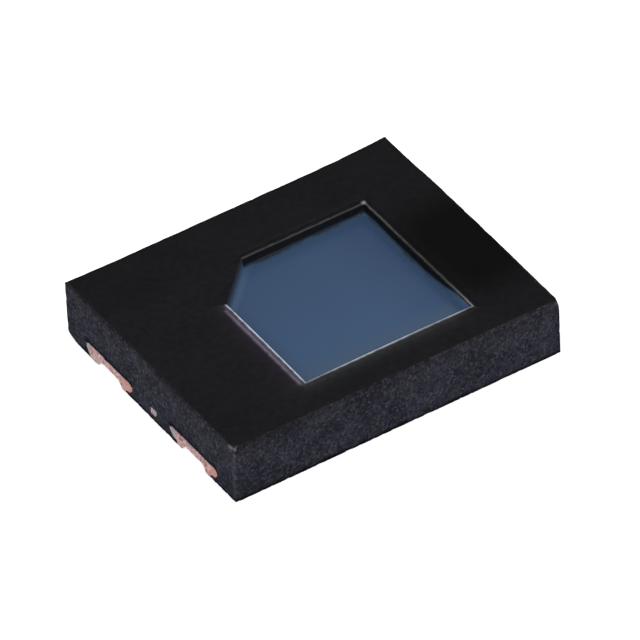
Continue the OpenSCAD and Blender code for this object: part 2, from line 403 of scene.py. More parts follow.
# %% [markdown]
# ## From a grid to a mesh
# One function turns any grid of points into faces. Blender's own grid has to be bent afterwards, while here
# the points are known first. A grid can close on itself in both directions, or be capped at its two ends.

# %% Grid to mesh
def skin(name, grid, loop=False):
    """Joins each point to its neighbours in four-sided faces. Rows always close on themselves. With loop the
    last row joins the first, and otherwise both ends are capped."""
    rows, cols = grid.shape[:2]
    index = np.arange(rows * cols).reshape(rows, cols)
    below = np.roll(index, -1, axis=0)
    if not loop:
        index, below = index[:-1], below[:-1]
    right, below_right = np.roll(index, -1, axis=1), np.roll(below, -1, axis=1)
    faces = np.stack([index, below, below_right, right], axis=-1).reshape(-1, 4).tolist()
    if not loop:
        faces += [np.arange(cols).tolist(), (rows * cols - 1 - np.arange(cols)).tolist()]
    mesh = bpy.data.meshes.new(name)
    mesh.from_pydata(grid.reshape(-1, 3), [], faces)
    mesh.update()
    return mesh


def place(name, mesh):
    """A new object in the scene that shows the mesh."""
    piece = bpy.data.objects.new(name, mesh)
    scene.collection.objects.link(piece)
    return piece


moulding = place("moulding", skin("moulding", moulding_grid, loop=True))
print("moulding faces:", len(moulding.data.polygons))

# %% [markdown]
# ## Pockets for the copper
# Each terminal comes out through the saw cut and the underside at once. Its shape before the saw is a
# short stack of rectangles: straight below the land, hollowed by the etch up to the wings, then the
# plate. Rows of outlines can't open two faces of the block at once, so the stack is cut from the moulding
# by a Boolean, in millimetres, where the numbers are large enough to be safe.

# %% Stacks that cut the pockets
terminal_low, terminal_high = node_box("anode_terminal")
FREE_L, TERMINAL_W = (terminal_high - terminal_low)[:2].round(3)
TERMINAL_Y = round((terminal_low[1] + terminal_high[1]) / 2, 3)
FUSED_L, LAND_W, LAND_L = 0.8, 0.76, 0.6
WING_BEVEL, WING_RISE = 0.07, 0.045
TIE_W, TIE_Y, TIE_LAP, TIE_DRAG = 0.11, -0.05, 0.05, 0.035
OVER = 0.1  # how far a stack stands out of the block


def stack(boxes):
    """One ring of four corners for each (x0, x1, y0, y1, z)."""
    x0, x1, y0, y1, z = np.array(boxes).T
    corners = ((x0, y0), (x0, y1), (x1, y1), (x1, y0))
    return np.stack([np.stack([x, y, z], -1) for x, y in corners], 1)


def terminal_stack(end, row, length):
    """Rectangles from below the land to the top of the plate, widened by the etch's quarter circle."""
    saw, y = end * (BODY_L / 2 + OVER), row * TERMINAL_Y

    def level(reach, half, z):
        inner = end * (BODY_L / 2 - reach)
        return (min(saw, inner), max(saw, inner), y - half, y + half, z)

    turn = np.radians(np.linspace(0, 90, HOLLOW_ROWS))
    hollow = [level(LAND_L + ETCH_D * (1 - cos(b)), LAND_W / 2 + ETCH_D * (1 - cos(b)), ETCH_D * sin(b))
              for b in turn]
    half = TERMINAL_W / 2
    return stack([level(LAND_L, LAND_W / 2, -OVER), *hollow, level(length, half - WING_BEVEL, ETCH_D),
                  level(length, half, ETCH_D + WING_RISE), level(length, half, FRAME_T)])


cutters = [terminal_stack(end, row, FREE_L if end < 0 else FUSED_L) for end in (-1, 1) for row in (-1, 1)]
tie_end = CHIP_X - FLAG_W / 2 + TIE_LAP
cutters.append(stack([(-BODY_L / 2 - OVER, tie_end, TIE_Y - TIE_W / 2, TIE_Y + TIE_W / 2, z)
                      for z in (ETCH_D, FRAME_T)]))
print("stacks:", [c.shape for c in cutters])

# %% Cut the pockets
tools = [place("cutter", skin("cutter", c)) for c in cutters]
for tool in tools:
    carve = moulding.modifiers.new("pocket", "BOOLEAN")
    carve.solver, carve.operation, carve.object = "MANIFOLD", "DIFFERENCE", tool
finished = bpy.data.meshes.new_from_object(moulding.evaluated_get(bpy.context.evaluated_depsgraph_get()))
moulding.modifiers.clear()
moulding.data = finished
for tool in tools:
    bpy.data.objects.remove(tool)
points = np.empty(len(finished.vertices) * 3, np.float32)
finished.vertices.foreach_get("co", points)
points = points.reshape(-1, 3).astype(float)
finished.vertices.foreach_set("co", (askew(points) * MM).astype(np.float32).ravel())
print("moulding after the pockets:", len(finished.polygons), "faces")

# %% [markdown]
# ## Marks that follow the shape
# Flash, wear and painted highlights sit along rims and edges, and painted shade lies in places. A noise
# texture couldn't find the rim, and the part uses no painted images. So they are worked out for each point,
# as it was before the cuts were bent, and stored on
# it: one colour for all that is paler than the compound, the painted highlights among it, and one number for
# all the painted shade.

# %% Helpers for the marks
LEFT, FRONT, BACK, RIGHT, CUT = range(5)


def ridge(value, centre, width):
    """A bell curve: one at the centre, and 1/e at a distance of width."""
    return np.exp(-((value - centre) / width) ** 2)


def past_window(p):
    """How far a point lies outside the nearest side of the window, and which side that is."""
    x, y, h = p[:, 0] - CHIP_X, p[:, 1] - CHIP_Y, WINDOW_W / 2
    past = np.stack([-x - h, -y - h + FRONT_IN, y - h, x - h, (y - x - WINDOW_W + WINDOW_CUT) / 2 ** 0.5])
    return past.max(axis=0), past.argmax(axis=0)


def coloured(share, colour):
    """Each point's share times the colour."""
    return share[:, None] * np.array(colour)


beyond, side = past_window(points)
height = points[:, 2]
inside = (HALF - np.abs(points[:, :2])).min(axis=1)
along_x, along_y = points[:, 0] - CHIP_X + WINDOW_W / 2, points[:, 1] - CHIP_Y + WINDOW_W / 2
print("points nearest to each side of the window:", np.bincount(side))

# %% [markdown]
# ## Flash and painted highlights
# Pale lines along the rim are painted highlights, partly thin resin flash, brightest on the two near sides,
# with fainter painted highlight lines outside the left one and a broad painted glow round both. Edges could
# be coloured, but the lines lie a hair beside the rim. Each is a bell curve of the distance from the window.

# %% Flash and painted highlights
# painted highlights and a painted glow along the rim, partly resin flash
FLASH_AND_HIGHLIGHTS = [  # side, centre outside the rim, width, colour
    (LEFT, -0.014, 0.020, (0.66, 0.70, 0.84)),
    (LEFT, 0.036, 0.020, (0.027, 0.030, 0.052)),
    (LEFT, 0.069, 0.021, (0.112, 0.098, 0.130)),
    (LEFT, 0.0, 0.20, (0.0115, 0.0075, 0.0115)),
    (FRONT, -0.025, 0.027, (0.52, 0.56, 0.62)),
    (FRONT, 0.0, 0.16, (0.0135, 0.0140, 0.0155)),
    (BACK, -0.008, 0.010, (0.061, 0.059, 0.061)),
    (BACK, 0.080, 0.020, (0.005, 0.005, 0.005)),
    (RIGHT, 0.011, 0.011, (0.096, 0.100, 0.097)),
]
LEFT_RUN = WINDOW_W - WINDOW_CUT
STOP_AT_CUT, STOP_AT_FRONT = 1.9, 1.2  # how far short an outer line stops, times its distance from the rim
# a line wider than HAZE_WIDTH is a broad painted glow, and RIGHT_HIGHLIGHT_BOOST paints the right line
# brighter
HAZE_WIDTH, WAVER, RIGHT_HIGHLIGHT_BOOST = 0.1, 0.004, 1.5


def highlight_line(at, centre, width):
    """A painted highlight line: a bell curve across one side, along a wavering line. On the left an outer
    line stops short of both ends, and at the front a broad painted glow fades out towards the right."""
    at_cut = smooth(LEFT_RUN - along_y - STOP_AT_CUT * centre, -0.06, 0)
    at_front = smooth(along_y - STOP_AT_FRONT * centre, -0.1, 0)
    fade = 1 - (width > HAZE_WIDTH) * smooth(along_x, WINDOW_W - 0.4, WINDOW_W + 0.05)
    line = ridge(beyond + WAVER * lumps(points, pitch=0.05, seed=12), centre, width)
    return (side == at) * line * {LEFT: at_cut * at_front, FRONT: fade}.get(at, 1)


def flash_and_highlights():
    """The sum of the painted highlight lines, uneven along their run by two noises. The right one is painted
    brighter towards its near end.
    """
    high = height > STEP_Z - RIM_R
    uneven = 1 + 0.25 * lumps(points, pitch=0.06, seed=6) + 0.15 * lumps(points, pitch=0.2, seed=9)
    uneven += (side == RIGHT) * RIGHT_HIGHLIGHT_BOOST * ridge(along_y, 0.0, 0.5)
    return sum(coloured(high * uneven * highlight_line(at, centre, width), colour)
               for at, centre, width, colour in FLASH_AND_HIGHLIGHTS)


flash_and_highlight_colour = flash_and_highlights()
print("brightest flash:", flash_and_highlight_colour.max(axis=0).round(2))

# %% [markdown]
# ## Painted blue and grey on the walls
# The foot of the wall is painted with the chip's blue up to an uneven height, higher at the cut and all the
# way up at one corner:
# a painted reflection, and in part clear die coat that has crept up. The rest of the wall is painted a little
# lighter grey, a painted light. The coat could be a thin glass piece, but at this size only its colour shows.
# So the wall is tinted up to an uneven height.

# %% Painted blue and grey on the walls
# painted colours on the wall: the chip's blue as a painted reflection, partly die coat, a painted blue on the
# cut, and a painted light grey
COAT_AND_REFLECTED_BLUE, CUT_REFLECTED_BLUE, WALL_PAINTED_LIGHT = (0.036, 0.070, 0.130), (0.097, 0.124, 0.209), (0.0055, 0.006, 0.007)
CLIMB, RIGHT_CLIMB, CORNER_CLIMB, FAR_CLIMB = 0.014, 0.006, 0.135, 0.02
CLIMB_UNEVEN, COAT_SOFT, CUT_CLIMB, CORNER_BOOST = 0.008, 0.025, 0.104, 0.95


def painted_blue_on_walls():
    """One up to the height of the painted blue, which stands partly for die coat that has climbed, with a
    soft edge. On the right side two bell curves raise that height towards its ends."""
    to_corner, to_far = ridge(along_y, 0.0, 0.62), ridge(along_y, 2.3, 0.4)
    climb = CLIMB + (side == RIGHT) * (RIGHT_CLIMB + CORNER_CLIMB * to_corner + FAR_CLIMB * to_far)
    above = height - CHIP_TOP - climb - CLIMB_UNEVEN * lumps(points, pitch=0.08, seed=14)
    return 1 - smooth(above, -COAT_SOFT, COAT_SOFT)


def painted_wall_colour():
    """Painted lighter grey on the whole wall, the painted reflected blue where the die coat lies, stronger at
    the high corner, and a painted blue on the cut that dies away upwards.
    """
    rise = np.maximum(height - CHIP_TOP, 0) / CUT_CLIMB
    on_cut = (beyond < 0) * (side == CUT) * (height < STEP_Z) * np.exp(-rise ** 1.8)
    corner = 1 + CORNER_BOOST * (side == RIGHT) * ridge(along_y, 0.0, 0.5)
    return coloured(on_wall, WALL_PAINTED_LIGHT) + coloured(wall_blue_share * corner, COAT_AND_REFLECTED_BLUE) + coloured(on_cut, CUT_REFLECTED_BLUE)


on_wall = (beyond < 0) & (height > CHIP_TOP - 0.001) & (height < STEP_Z - RIM_R)
wall_blue_share = on_wall * (side != CUT) * painted_blue_on_walls()
painted_wall_light = painted_wall_colour()
print("points on the wall: %d, under the coat: %.1f" % (on_wall.sum(), wall_blue_share.sum()))

# %% [markdown]
# ## Nicks and scuffs
# Handling has left pale nicks at the front corner and a brown scuff just under the right one. There is a
# bright spot at the far corner of the rim, and the front upright edge has a painted highlight. They could be
# modelled, but they are smaller than a pixel. So they are
# colour only: noise above a level, kept to where two faces meet.

# %% Nicks and scuffs
NICK, RUB, SCUFF = (0.20, 0.19, 0.19), (0.006, 0.005, 0.005), (0.085, 0.070, 0.074)
# UPRIGHT_HIGHLIGHT is a painted highlight on the front upright edge
UPRIGHT_HIGHLIGHT, SPOT = (0.012, 0.012, 0.013), (0.30, 0.30, 0.30)
FAR_RIM_CORNER = (CHIP_X + WINDOW_W / 2, CHIP_Y + WINDOW_W / 2)


def nicks():
    """Noise above a level times the closeness to the second nearest face, more of it at the front corner.
    Bell curves round the other places give the scuff, the painted highlight on the upright edge and the spot."""
    gap = np.stack([BODY_L / 2 - np.abs(points[:, 0]), BODY_W / 2 - np.abs(points[:, 1]), BODY_H - height])
    edge = 1 - smooth(np.sort(gap, axis=0)[1], 0.015, 0.04)
    corner = near(points, FRONT_CORNER, reach=0.13) * smooth(height, 0.6, 0.85)
    chips = smooth(lumps(points, pitch=0.035, seed=8), 0.45 - 0.3 * corner, 0.85 - 0.2 * corner) * edge
    scuffs = smooth(lumps(points, pitch=0.09, seed=10), -0.3, 0.4) * (gap[:2].min(axis=0) < 0.02)
    scuffs = scuffs * near(points, RIGHT_CORNER, reach=0.6) * ridge(height, 0.865, 0.025)
    # painted highlight along the front upright edge
    upright = near(points, FRONT_CORNER, reach=0.035)
    spot = near(points, FAR_RIM_CORNER, reach=0.025) * (height > STEP_Z - RIM_R)
    return (coloured(chips * corner, NICK) + coloured(chips, RUB) + coloured(scuffs, SCUFF)
            + coloured(upright, UPRIGHT_HIGHLIGHT) + coloured(spot, SPOT))


pale = np.concatenate([flash_and_highlight_colour + painted_wall_light + nicks(), np.ones((len(points), 1))], axis=1)
pale_mark = finished.attributes.new("pale", "FLOAT_COLOR", "POINT")
pale_mark.data.foreach_set("color", pale.astype(np.float32).ravel())
print("palest mark:", pale.max(axis=0).round(2))

# %% [markdown]
# ## Painted shade
# Some places are painted darker than light alone makes them, a painted shade: a patch right of the window,
# the two far margins, the groove by the far rims, the brow of the front side, the top edges, the two far
# edges, the wall above the blue, the foot, the right upright edge and a painted shadow line over the copper.
# Darker lamps would darken the rest as well, so a number on each point says how much is taken away.

# %% Painted shade
# strengths of painted shade
PATCH_SHADE, MARGIN_SHADE, TOP_MOST, GROOVE_SHADE = 0.8, 0.13, 0.85, 0.4
BROW_SHADE, EDGE_SHADE, FAR_SHADE, FOOT_SHADE = 0.12, 0.32, 0.8, 0.85
LINE_SHADE, LINE_RISE, UPRIGHT_SHADE = 0.95, 0.052, 0.45
RIGHT_WALL_SHADE, BACK_WALL_SHADE = 0.45, 0.08


def painted_shade_on_top():
    """Painted shade: a patch of fourth powers, the two far margins by smoothstep, and the groove's bell
    curve.
    """
    x, y = points[:, 0], points[:, 1]
    top = smooth(height, BODY_H - 0.03, BODY_H - 0.005) * (beyond > 0)
    patch = PATCH_SHADE * top * np.exp(-((x - 2.15) / 0.75) ** 4 - (y + 0.35) ** 4)
    margin = MARGIN_SHADE * top * np.maximum(smooth(y, 0.9, 1.3), smooth(x, 1.5, 1.9))
    groove = GROOVE_SHADE * top * ((side == BACK) | (side == RIGHT)) * ridge(beyond, 0.04, 0.02)
    return np.maximum(np.minimum(patch + margin, TOP_MOST), groove)


def painted_shade_on_sides():
    """Painted shade: smoothsteps of the height for the brow, the edges and the uneven foot, and a bell curve
    of the height over each terminal for the painted shadow line."""
    x, y = points[:, 0], points[:, 1]
    brow = BROW_SHADE * smooth(height, 0.6, 0.85) * (y < 0.03 - BODY_W / 2)
    edge = EDGE_SHADE * (inside < 0.03) * smooth(height, 0.85, 0.89)
    to_far = [smooth(v, half - 0.05, half - 0.015) for v, half in ((x, HALF[0]), (y, HALF[1]))]
    far = FAR_SHADE * smooth(height, BODY_H - 0.08, BODY_H - 0.02) * np.maximum(*to_far)
    ground = height + 0.02 * lumps(points, pitch=0.15, seed=11)
    foot = FOOT_SHADE * (inside < 0.02) * (1 - smooth(ground, 0.02, 0.075))
    # painted shadow line over each terminal
    over = (np.abs(np.abs(y) - TERMINAL_Y) < TERMINAL_W / 2 + 0.01) * (np.abs(x) > BODY_L / 2 - 0.03)
    line = LINE_SHADE * over * ridge(height, FRAME_T + LINE_RISE, 0.03)
    upright = UPRIGHT_SHADE * near(points, RIGHT_CORNER, reach=0.09) * (height < 0.8)
    return np.maximum.reduce([brow, edge, far, foot, line, upright])


def painted_shade_in_window():
    """Painted shade on the part of the far walls that the painted blue leaves bare."""
    return on_wall * (1 - wall_blue_share) * (RIGHT_WALL_SHADE * (side == RIGHT) + BACK_WALL_SHADE * (side == BACK))


painted_shade_amount = np.maximum.reduce([painted_shade_on_top(), painted_shade_on_sides(), painted_shade_in_window()])
print("shaded points: %d of %d" % ((painted_shade_amount > 0.1).sum(), len(painted_shade_amount)))

# %% Finish the moulding
SHARP_ANGLE = radians(38)


def store(mesh, mark, value):
    """Keeps one number for each point of a mesh, under the name of its mark."""
    mesh.attributes.new(mark, "FLOAT", "POINT").data.foreach_set("value", value.ravel().astype(np.float32))


# the painted shade is stored on each point
store(finished, "painted_shade", painted_shade_amount)
store(finished, "sawn", np.clip((0.03 - inside) / 0.02, 0, 1))
finished.shade_smooth()
finished.set_sharp_from_angle(angle=SHARP_ANGLE)
finished.update()
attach(moulding, "root")
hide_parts("mould_body")
print("marks:", [a.name for a in finished.attributes if a.name in ("pale", "painted_shade", "sawn")])

# %% [markdown]
# ## Copper dragged by the saw
# The blade smears soft copper, so each sawn end is a low pillow with a wavy outline that laps over the
# compound, fullest low down, and its upper edge is painted dark, a painted shadow. The CAD copper
# behind it is cut square. A bump would leave that square outline, so the pillow is a thin closed skin:
# for each place across the terminal, a strip from its lower to its upper edge.

# %% Outlines of the sawn ends
ARCH_H, WING_H, WING_TIP_H = 0.11, 0.075, 0.03
TOP_LAP, TOP_DROOP = 0.034, 0.02


def terminal_edges(drag):
    """Lower and upper height as a function of s from the middle: a low arch, two lands and two wings, each a
    smoothstep of s, with one land dragged wider."""
    def edges(s):
        off = np.abs(s)
        arch = ARCH_H * (1 - smooth(off, 0.20, 0.33))
        wing = WING_H * smooth(off - drag * (s > 0), 0.345, 0.43) + WING_TIP_H * smooth(off, 0.48, 0.55)
        return arch + wing, FRAME_T + TOP_LAP - TOP_DROOP * smooth(off, 0.5, 0.56)
    return edges


def tie_edges(s):
    """Heights of the lower and the upper edge of the tie bar, straight lines sloped a little by the saw."""
    return ETCH_D + 0.04 + 0.1 * s, FRAME_T + 0.015 + 0.3 * s


print("a terminal's middle: %.3f to %.3f mm high" % terminal_edges(0)(0.0))

# %% Saw burrs
BURR_T, BURR_LAP, BURR_ROOT, BURR_WAVE, BURR_LOW = 0.011, 0.006, 0.006, 0.010, 0.002
STRIPS, STRIP_POINTS = 121, 13
TERMINALS = [  # name, end, place on y, how far one land is dragged
    ("anode", -1, TERMINAL_Y, 0.08),
    ("spare", -1, -TERMINAL_Y - 0.02, -0.04),
    ("cathode_back", 1, TERMINAL_Y, 0.03),
    ("cathode_front", 1, -TERMINAL_Y, 0.06),
]


def burr_grid(end, y, half, edges, seed):
    """A strip for each s across the end: down its front, which bulges by the root of 4v(1-v), then up its
    back. A twelfth power of s rounds both ends. Also gives two marks: the place across, and a painted
    shadow along the upper edge."""
    s = half * np.linspace(-1, 1, STRIPS)[:, None]
    v = np.concatenate([np.linspace(1, 0, STRIP_POINTS), np.linspace(0, 1, STRIP_POINTS)])[None]
    front = np.repeat([1.0, 0.0], STRIP_POINTS)[None]
    low, high = edges(-end * s)
    tip = np.sqrt(1 - np.abs(s / (half * 1.002)) ** 12)
    middle, reach = (low + high) / 2, ((high - low) / 2 + BURR_LAP) * tip
    bulge = np.sqrt(4 * v * (1 - v)) * (1 + 0.9 * (1 - v) * smooth(high - low, 0.12, 0.2))
    p = np.stack(np.broadcast_arrays(0.0, y - end * s, middle + reach * (2 * v - 1)), -1)
    p[..., 2] += BURR_WAVE * lumps(p, pitch=0.1, seed=seed) * (1 - front * np.minimum(bulge, 1))
    uneven = 1 + 0.4 * lumps(p, pitch=0.05, seed=seed + 1)
    p[..., 0] = end * (BODY_L / 2 + BURR_T * front * bulge * tip * uneven - BURR_ROOT * (1 - front))
    p[..., 2] = np.maximum(p[..., 2], BURR_LOW)
    across = -end * s / half + 0.25 * lumps(p, pitch=0.08, seed=seed + 2)
    # painted shadow along the upper edge of the sawn end
    over_edge = p[..., 2] - high + 0.006 + 0.012 * lumps(p, pitch=0.09, seed=seed + 3)
    return p, across, smooth(over_edge, 0, 0.008)


def burr(name, grid, across, painted_edge_shadow):
    """The grid as a copper piece that carries its two marks."""
    piece = place(name, skin(name, grid * MM))
    store(piece.data, "across", across)
    store(piece.data, "painted_edge_shadow", painted_edge_shadow)
    piece.data.shade_smooth()
    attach(piece, "root")
    return piece


burrs = [burr(f"{name}_burr", *burr_grid(end, y, TERMINAL_W / 2, terminal_edges(drag), seed=20 + 4 * i))
         for i, (name, end, y, drag) in enumerate(TERMINALS)]
tie_grid, tie_across, tie_edge_shadow = burr_grid(-1, TIE_Y - TIE_DRAG, TIE_W / 2, tie_edges, seed=40)
burrs.append(burr("tie_bar_burr", tie_grid, np.ones_like(tie_across), tie_edge_shadow))
print("burrs:", [b.name for b in burrs])

# %% [markdown]
# ## Shader helpers
# Materials could be joined up by hand in the node editor. In code they can be read and repeated, and a
# few small helpers keep that short: they add a node, set its sockets and hand back its output.

# %% Node helpers
def fill(tree, node, **sockets):
    """Sets a node's sockets, by name or as _0, _1, to a constant or to the output of another node."""
    for name, value in sockets.items():
        socket = node.inputs[int(name[1:])] if name[0] == "_" else node.inputs[name.replace("_", " ")]
        if isinstance(value, bpy.types.NodeSocket):
            tree.links.new(value, socket)
        else:
            socket.default_value = value


def add(tree, kind, choices=None, **sockets):
    """A new node of that kind."""
    node = tree.nodes.new("ShaderNode" + kind)
    for name, value in (choices or {}).items():
        setattr(node, name, value)
    fill(tree, node, **sockets)
    return node


def sums(tree, operation, *values):
    """One Math node."""
    sockets = {f"_{i}": value for i, value in enumerate(values)}
    return add(tree, "Math", {"operation": operation}, **sockets).outputs[0]


def largest(tree, first, *others):
    """The largest of several values."""
    return sums(tree, "MAXIMUM", first, largest(tree, *others)) if others else first


def blend(tree, share, first, second):
    """A colour between two, where each is a constant or an output."""
    first, second = ((*c, 1) if isinstance(c, tuple) else c for c in (first, second))
    return add(tree, "MixRGB", Fac=share, Color1=first, Color2=second).outputs[0]


def ramp(tree, value, low, high, first=0.0, last=1.0, kind="SMOOTHSTEP"):
    """From first to last while a value goes from low to high, by smoothstep."""
    return add(tree, "MapRange", {"interpolation_type": kind}, Value=value, From_Min=low, From_Max=high,
               To_Min=first, To_Max=last).outputs[0]


def slope(tree, value, low, high, first=0.0, last=1.0):
    """The same in a straight line."""
    return ramp(tree, value, low, high, first, last, kind="LINEAR")


def ramp_mm(tree, value, low, high, first=0.0, last=1.0):
    """A smoothstep between places in millimetres."""
    return ramp(tree, value, low * MM, high * MM, first, last)


def slope_mm(tree, value, low, high, first=0.0, last=1.0):
    """A straight line between places in millimetres."""
    return slope(tree, value, low * MM, high * MM, first, last)


print("node helpers: fill, add, sums, largest, blend, ramp, slope, ramp_mm and slope_mm")

# %% Material helpers
def start_material(name):
    """A new material, its nodes and its Principled shader."""
    material = bpy.data.materials.new(name)
    material.use_nodes = True
    return material, material.node_tree, material.node_tree.nodes["Principled BSDF"]


def place_on(tree):
    """Where a point lies on its piece: x, y and z in metres."""
    return add(tree, "SeparateXYZ", Vector=add(tree, "TexCoord").outputs["Object"]).outputs


def mark_on(tree, name, kind="Fac"):
    """A mark that is stored on the points."""
    return add(tree, "Attribute", {"attribute_name": name}).outputs[kind]


def bump(tree, relief, strength, distance):
    """A normal tilted by a relief, with the distance in millimetres."""
    return add(tree, "Bump", Strength=strength, Distance=distance * MM, Height=relief).outputs[0]


def dress(piece, material):
    """Gives a piece this material alone."""
    piece.data.materials.clear()
    piece.data.materials.append(material)


print("material helpers: start_material, place_on, mark_on, bump and dress")

# %% [markdown]
# ## Shared grain
# Hardly a surface on the part is even: resin clouds, copper mottles, and glue is full of silver flakes.
# Each material could have its own noise. The same fleck at other sizes serves them all, so it is one node
# group that takes a size and two levels, and gives a mask and a height.

# %% Grain group
def make_grain():
    """Noise in object space at a pitch of Size millimetres, and a smoothstep of it from Low to High."""
    group = bpy.data.node_groups.new("fine_grain", "ShaderNodeTree")
    for name, default in (("Size", 0.04), ("Low", 0.4), ("High", 0.6)):
        socket = group.interface.new_socket(name, in_out="INPUT", socket_type="NodeSocketFloat")
        socket.default_value = default
    for name in ("Fleck", "Height"):
        group.interface.new_socket(name, in_out="OUTPUT", socket_type="NodeSocketFloat")
    given = group.nodes.new("NodeGroupInput").outputs
    scale = sums(group, "DIVIDE", 1 / MM, given["Size"])
    noise = add(group, "TexNoise", Vector=add(group, "TexCoord").outputs["Object"], Scale=scale, Detail=4.0,
                Roughness=0.65).outputs["Fac"]
    fleck = ramp(group, noise, given["Low"], given["High"])
    fill(group, group.nodes.new("NodeGroupOutput"), Fleck=fleck, Height=noise)
    return group


GRAIN = make_grain()


def grain(tree, size, low=0.3, high=0.7):
    """The group placed in a material: its mask and its height."""
    node = add(tree, "Group", {"node_tree": GRAIN}, Size=size, Low=low, High=high)
    return node.outputs["Fleck"], node.outputs["Height"]


print("grain group sockets:", [s.name for s in GRAIN.interface.items_tree])

# %% [markdown]
# ## Moulding compound
# Moulding compound is mostly tiny glass beads in black resin. The pressed top is a smooth satin black. The
# sawn sides are paler, bluish and speckled, because the saw opens the beads, and a few of them spark. A
# noise texture would give clouds and not beads, so a Voronoi texture gives every bead its own shade. The
# cut is painted a little lighter towards its right end, a painted light. Which face is sawn comes from the
# points, as the marks do.

# %% Moulding material
BEAD = 0.030
PRESSED = (0.0066, 0.0066, 0.0078), (0.0118, 0.0118, 0.0134)
RESIN = (0.0154, 0.0164, 0.0253), (0.0189, 0.0182, 0.0235)
GLASS = (0.0639, 0.0663, 0.0945), (0.0727, 0.0709, 0.0866)
SHADOW = (0.0004, 0.0004, 0.0006)


def pressed_colour(tree):
    """Black, lighter where a fine grain and a broad cloud add up."""
    cloud, _ = grain(tree, 0.9)
    fine, _ = grain(tree, 0.1)
    return blend(tree, sums(tree, "MULTIPLY_ADD", fine, 0.6, sums(tree, "MULTIPLY", cloud, 0.4)), *PRESSED)


def bead_tone(tree, here, x):
    """How light a bead is: a power of its random shade, a spark on a few, broad grain and a painted light
    that grows along x.
    """
    beads = add(tree, "TexVoronoi", Vector=here, Scale=1 / (BEAD * MM)).outputs["Color"]
    red, green, blue = add(tree, "SeparateColor", Color=beads).outputs
    mean = sums(tree, "DIVIDE", sums(tree, "ADD", red, sums(tree, "ADD", green, blue)), 3)
    bead = sums(tree, "POWER", slope(tree, mean, 0.13, 1.0), 1.5)
    spark = ramp(tree, blue, 0.88, 0.96, -0.18, 0.25)
    broad, _ = grain(tree, 0.35)
    # painted light: the sawn faces are painted lighter towards +x
    painted_light_along_x = slope_mm(tree, x, -BODY_L / 2, BODY_L / 2, -0.035, 0.09)
    return sums(tree, "MULTIPLY_ADD", broad, 0.3, sums(tree, "ADD", painted_light_along_x, sums(tree, "ADD", bead, spark)))


def mould_material():
    """Pressed or sawn colour, plus the pale marks with their painted highlights, less the painted shade. Sawn
    faces are rougher and bumpier.
    """
    material, tree, shader = start_material("mould_black")
    here = add(tree, "TexCoord").outputs["Object"]
    x, _, z = add(tree, "SeparateXYZ", Vector=here).outputs
    sawn = mark_on(tree, "sawn")
    stain, relief = grain(tree, 0.12, 0.25, 0.75)
    warm = sums(tree, "ADD", stain, slope_mm(tree, z, 0.4, BODY_H, -0.2, 0.3))
    beads = blend(tree, bead_tone(tree, here, x), blend(tree, warm, *RESIN), blend(tree, warm, *GLASS))
    plain = blend(tree, sawn, pressed_colour(tree), beads)
    marked = add(tree, "MixRGB", {"blend_type": "ADD"}, Fac=1.0, Color1=plain,
                 Color2=mark_on(tree, "pale", "Color")).outputs[0]
    relief = sums(tree, "MULTIPLY", relief, slope(tree, sawn, 0, 1, 0.05, 1.0))
    # the base colour loses the painted shade stored on the points
    fill(tree, shader, Base_Color=blend(tree, mark_on(tree, "painted_shade"), marked, SHADOW),
         Roughness=slope(tree, sawn, 0, 1, 0.3, 0.75), Normal=bump(tree, relief, 0.5, 0.008),
         Specular_IOR_Level=0.012)
    return material


dress(moulding, mould_material())
print("moulding nodes:", len(moulding.active_material.node_tree.nodes))

# %% [markdown]
# ## Chip
# Polished silicon looks grey. A coating a few hundred atoms thick makes it swallow red and green light and
# send back a deep blue, which drifts darker across the chip. The shader has a thin film of its own, but
# its colour turns with the view, so plain colour is surer. Close to the front, back and right walls the blue
# is greyer with a painted haze of light, by the cut it is paler, and at the foot of the two far walls a
# painted shadow darkens it.

# %% Chip material
RIGHT_WALL, BACK_WALL = FAR_RIM_CORNER
FRONT_WALL, CUT_WALL = CHIP_Y - WINDOW_W / 2 + FRONT_IN, CHIP_Y - CHIP_X + WINDOW_W - WINDOW_CUT
NEAR_BLUE, FAR_BLUE = ((0.0348, 0.0780, 0.1560), (0.0366, 0.0805, 0.1610)), (0.0231, 0.0542, 0.1254)
# PAINTED_HAZE_BLUE is a painted haze of light near the walls, WALL_SHADOW_DARK a painted shadow at the foot
# of the far walls
PAINTED_HAZE_BLUE, PALE_BLUE, WALL_SHADOW_DARK = (0.050, 0.0865, 0.146), (0.060, 0.118, 0.205), (0.029, 0.031, 0.046)


def chip_blue(tree, x, y):
    """A cloudy blue that drifts darker along x and y, with a painted grey haze by three walls, and paler by
    the cut.
    """
    drift = sums(tree, "ADD", ramp_mm(tree, x, 0.5, 1.4, 0, 0.5), ramp_mm(tree, y, -1.2, 0.8, 0, 0.5))
    cloud, _ = grain(tree, 1.4)
    plain = blend(tree, drift, blend(tree, cloud, *NEAR_BLUE), FAR_BLUE)
    at_front = ramp_mm(tree, y, FRONT_WALL + 0.17, FRONT_WALL + 0.5, 0.8, 0)
    at_back = ramp_mm(tree, y, BACK_WALL - 0.22, BACK_WALL - 0.02)
    at_right = ramp_mm(tree, x, RIGHT_WALL - 0.13, RIGHT_WALL - 0.02)
    painted_hazy = blend(tree, largest(tree, at_front, at_back, at_right), plain, PAINTED_HAZE_BLUE)
    to_cut = ramp_mm(tree, sums(tree, "SUBTRACT", y, x), CUT_WALL - 0.25, CUT_WALL - 0.03)
    return blend(tree, to_cut, painted_hazy, PALE_BLUE)


